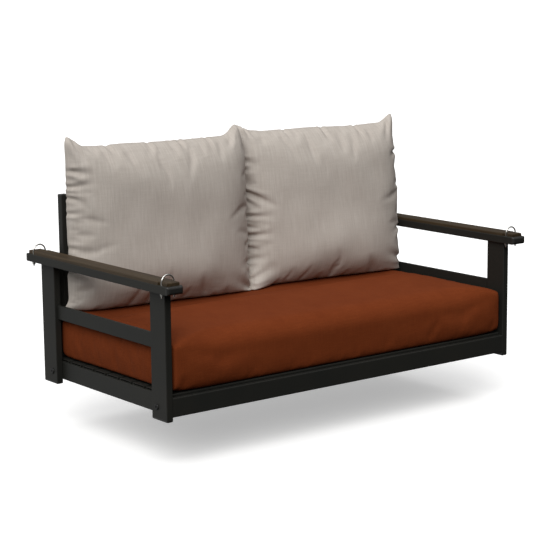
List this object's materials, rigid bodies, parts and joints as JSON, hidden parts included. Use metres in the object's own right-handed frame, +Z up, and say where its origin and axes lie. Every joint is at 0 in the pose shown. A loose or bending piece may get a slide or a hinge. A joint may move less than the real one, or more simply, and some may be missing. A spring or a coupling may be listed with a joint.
{
  "type": "porch swing seat",
  "caption": "Porch swing seat with a dark metal frame, plank armrests with hanging U-bolts, a rust seat cushion and taupe back pillows.",
  "frame": {"origin": "on the ground under the middle of the frame, level with the undersides of the leg foot caps", "axes": "+X to the right seen from the front, +Y to the back, +Z up"},
  "size_m": [1.435, 0.802, 0.7643],
  "materials": {
    "powder_coated_frame": "dark bronze-black powder coat on aluminium tube, fine texture, low gloss",
    "plank_wood_look": "dark brown plank with fine lengthwise grain, satin",
    "black_plastic": "moulded black plastic, satin",
    "stainless_steel": "bright stainless steel",
    "coated_bolt": "black coated button head bolts",
    "seat_fabric": "rust woven outdoor acrylic, matte with a soft sheen",
    "pillow_fabric": "taupe woven outdoor acrylic, fine weave, matte",
    "foam": "open cell foam block, inside the seat cover",
    "fibre_fill": "loose polyester fibre, inside the pillow covers"
  },
  "bodies": {
    "frame": {"arm_end_caps": "black_plastic", "armrest_screws": "stainless_steel", "back_bolts": "coated_bolt", "back_left_post": "powder_coated_frame", "back_left_spacer": "powder_coated_frame", "back_lower_rail": "powder_coated_frame", "back_post_caps": "black_plastic", "back_right_post": "powder_coated_frame", "back_right_spacer": "powder_coated_frame", "back_side_bolts": "coated_bolt", "back_slat_1": "powder_coated_frame", "back_slat_2": "powder_coated_frame", "back_slat_3": "powder_coated_frame", "back_slat_4": "powder_coated_frame", "back_slat_5": "powder_coated_frame", "back_slat_6": "powder_coated_frame", "back_slat_7": "powder_coated_frame", "back_slat_8": "powder_coated_frame", "back_slat_9": "powder_coated_frame", "back_upper_rail": "powder_coated_frame", "frame_bolts": "coated_bolt", "left_arm_tube": "powder_coated_frame", "left_armrest_plank": "plank_wood_look", "left_front_leg": "powder_coated_frame", "left_front_u_bolt": "stainless_steel", "left_mid_rail": "powder_coated_frame", "left_rear_leg": "powder_coated_frame", "left_rear_u_bolt": "stainless_steel", "leg_foot_caps": "black_plastic", "right_arm_tube": "powder_coated_frame", "right_armrest_plank": "plank_wood_look", "right_front_leg": "powder_coated_frame", "right_front_u_bolt": "stainless_steel", "right_mid_rail": "powder_coated_frame", "right_rear_leg": "powder_coated_frame", "right_rear_u_bolt": "stainless_steel", "seat_back_rail": "powder_coated_frame", "seat_front_rail": "powder_coated_frame", "seat_left_brace": "powder_coated_frame", "seat_left_rail": "powder_coated_frame", "seat_right_brace": "powder_coated_frame", "seat_right_rail": "powder_coated_frame", "seat_slat_1": "powder_coated_frame", "seat_slat_2": "powder_coated_frame", "seat_slat_3": "powder_coated_frame", "seat_slat_4": "powder_coated_frame", "seat_slat_5": "powder_coated_frame", "seat_slat_6": "powder_coated_frame", "seat_slat_7": "powder_coated_frame", "seat_slat_8": "powder_coated_frame", "seat_slat_9": "powder_coated_frame", "threaded_inserts": "stainless_steel", "u_bolt_nuts": "stainless_steel", "u_bolt_washers": "stainless_steel"},
    "seat_cushion": {"seat_cushion_cover": "seat_fabric", "seat_foam_core": "foam"},
    "left_back_pillow": {"left_pillow_cover": "pillow_fabric", "left_pillow_fill": "fibre_fill"},
    "right_back_pillow": {"right_pillow_cover": "pillow_fabric", "right_pillow_fill": "fibre_fill"}
  },
  "joints": [
    {"name": "seat_cushion_lift", "type": "slide", "parent": "frame", "child": "seat_cushion", "axis": [0, 0, 1], "range_m": [0, 0.36]},
    {"name": "left_pillow_lift", "type": "slide", "parent": "seat_cushion", "child": "left_back_pillow", "axis": [0, 0, 1], "range_m": [0, 0.42]},
    {"name": "right_pillow_lift", "type": "slide", "parent": "seat_cushion", "child": "right_back_pillow", "axis": [0, 0, 1], "range_m": [0, 0.42]}
  ]
}
